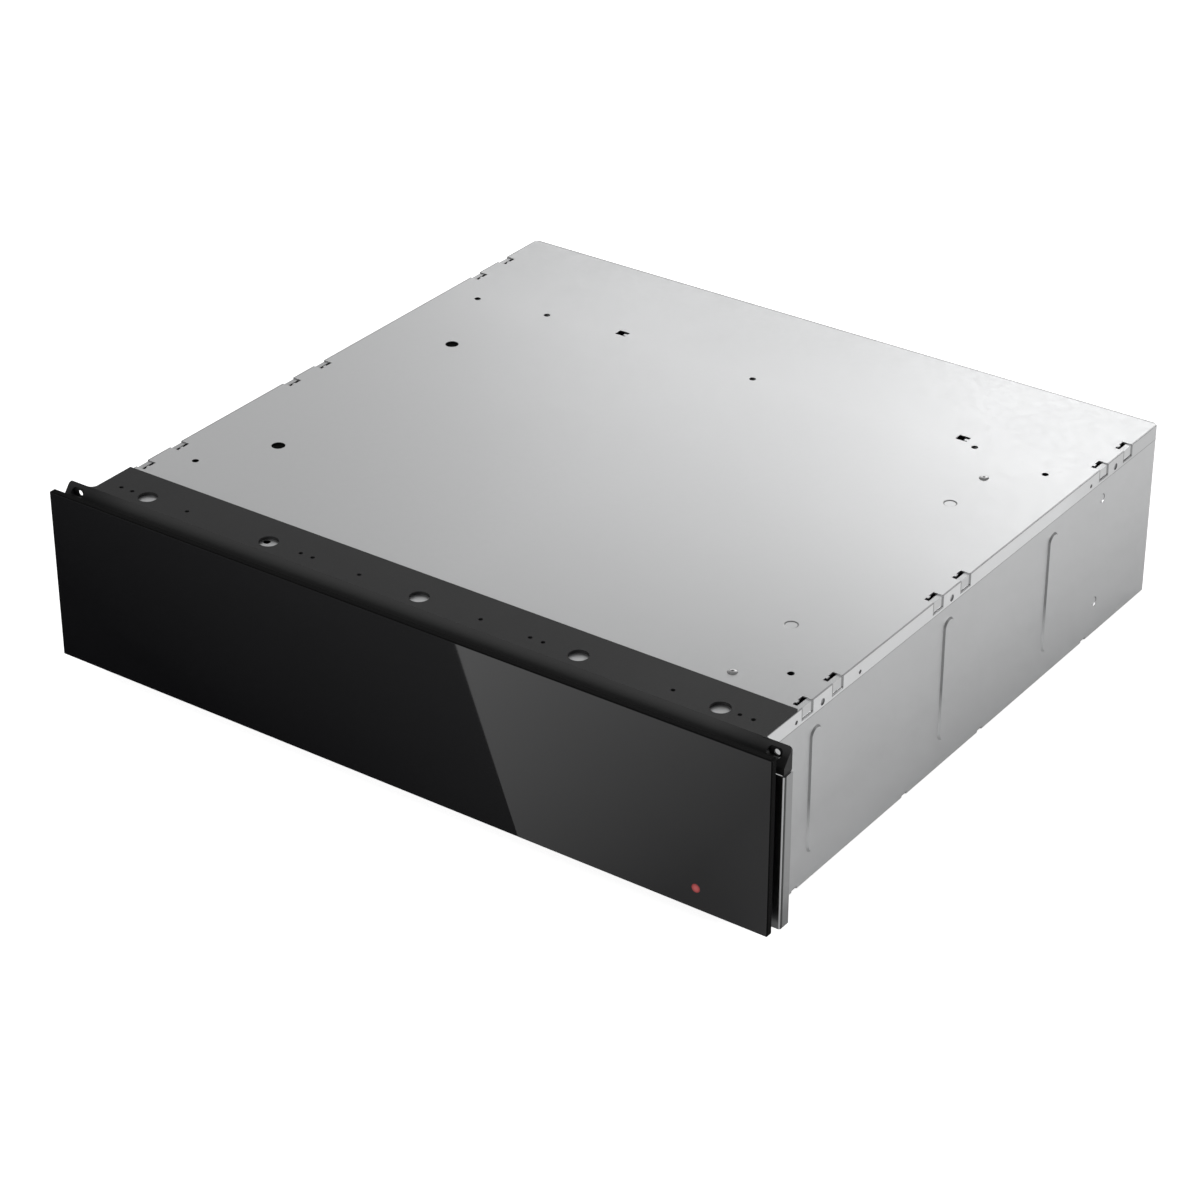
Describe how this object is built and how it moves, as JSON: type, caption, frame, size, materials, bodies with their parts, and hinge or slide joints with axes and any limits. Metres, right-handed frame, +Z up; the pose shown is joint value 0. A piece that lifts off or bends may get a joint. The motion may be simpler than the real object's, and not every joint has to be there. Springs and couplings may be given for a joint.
{
  "type": "built-in warming drawer",
  "caption": "Built-in warming drawer with a sheet steel housing, a black rail with slotted ears, telescopic slides and a handleless glass front.",
  "frame": {"origin": "middle of the whole part's box in X and Y, at the housing's underside in Z", "axes": "+X to the right, front faces -Y, +Z up"},
  "size_m": [0.598, 0.548, 0.1406],
  "materials": {
    "galvanised": "hot-dip galvanised sheet, satin",
    "black_enamel": "black powder coat, satin",
    "zinc_runner": "bright zinc plated",
    "stainless": "brushed stainless",
    "fasteners": "zinc plated",
    "front_glass": "black back-printed safety glass, polished",
    "light_red": "clear red, polished",
    "lamp_white": "moulded",
    "foam_tape": "foam",
    "fascia_black": "fine grain",
    "knob_silver": "silver lacquer",
    "control_body": "moulded",
    "mat_rubber": "ribbed silicone",
    "mineral_wool": "glass wool",
    "motor_steel": "dark grey",
    "rotor_aluminium": "as pressed",
    "element_steel": "heat-tinted",
    "box_white": "moulded",
    "gland_black": "moulded",
    "supply_grey": "potted",
    "latch_grey": "moulded"
  },
  "bodies": {
    "housing": {"top_cover": "galvanised", "left_side_panel": "galvanised", "right_side_panel": "galvanised", "base_panel": "galvanised", "rear_panel": "galvanised", "left_column": "galvanised", "right_column": "galvanised", "heat_shield": "galvanised", "air_duct": "galvanised", "duct_grille": "galvanised", "front_rail": "black_enamel", "left_outer_runner": "zinc_runner", "right_outer_runner": "zinc_runner", "insulation_mat": "mineral_wool", "fan_motor": "motor_steel", "heating_element": "element_steel", "thermostat": "box_white", "terminal_box": "box_white", "terminal_cover": "box_white", "cable_gland": "gland_black", "power_supply": "supply_grey", "left_push_latch": "latch_grey", "right_push_latch": "latch_grey", "housing_screws": "fasteners", "cover_rivets": "fasteners"},
    "drawer": {"glass_front": "front_glass", "glass_tape": "foam_tape", "indicator_lens": "light_red", "indicator_lamp": "lamp_white", "front_carrier": "black_enamel", "front_crossmember": "galvanised", "control_fascia": "fascia_black", "energy_regulator": "control_body", "power_switch": "control_body", "drawer_liner": "stainless", "antislip_mat": "mat_rubber", "strike_plates": "galvanised", "left_inner_runner": "zinc_runner", "right_inner_runner": "zinc_runner", "drawer_screws": "fasteners"},
    "left_slide": {"left_middle_runner": "zinc_runner"},
    "right_slide": {"right_middle_runner": "zinc_runner"},
    "fan": {"fan_shaft": "stainless", "fan_rotor": "rotor_aluminium"},
    "knob": {"temperature_knob": "knob_silver"},
    "button": {"power_button": "knob_silver"},
    "left_plunger": {"left_latch_plunger": "lamp_white"},
    "right_plunger": {"right_latch_plunger": "lamp_white"}
  },
  "joints": [
    {"name": "drawer_slide", "type": "slide", "parent": "housing", "child": "drawer", "axis": [0, -1, 0], "range_m": [-0.003, 0.38]},
    {"name": "left_slide_travel", "type": "slide", "parent": "housing", "child": "left_slide", "axis": [0, -1, 0], "range_m": [-0.0015, 0.19]},
    {"name": "right_slide_travel", "type": "slide", "parent": "housing", "child": "right_slide", "axis": [0, -1, 0], "range_m": [-0.0015, 0.19]},
    {"name": "fan_turn", "type": "hinge", "parent": "housing", "child": "fan", "pos_m": [0, 0.2162, 0.04], "axis": [0, 0, 1], "continuous": true},
    {"name": "temperature_turn", "type": "hinge", "parent": "drawer", "child": "knob", "pos_m": [0.205, -0.2405, 0.112], "axis": [0, 0, -1], "range_deg": [0, 270]},
    {"name": "power_press", "type": "slide", "parent": "drawer", "child": "button", "axis": [0, 0, -1], "range_m": [0, 0.0025], "stiffness_N_per_m": 250},
    {"name": "left_latch_press", "type": "slide", "parent": "housing", "child": "left_plunger", "axis": [0, 1, 0], "range_m": [0, 0.004], "stiffness_N_per_m": 400},
    {"name": "right_latch_press", "type": "slide", "parent": "housing", "child": "right_plunger", "axis": [0, 1, 0], "range_m": [0, 0.004], "stiffness_N_per_m": 400}
  ],
  "couplings": [
    {"joint": "left_slide_travel", "follows": "drawer_slide", "ratio": 0.5},
    {"joint": "right_slide_travel", "follows": "drawer_slide", "ratio": 0.5}
  ]
}
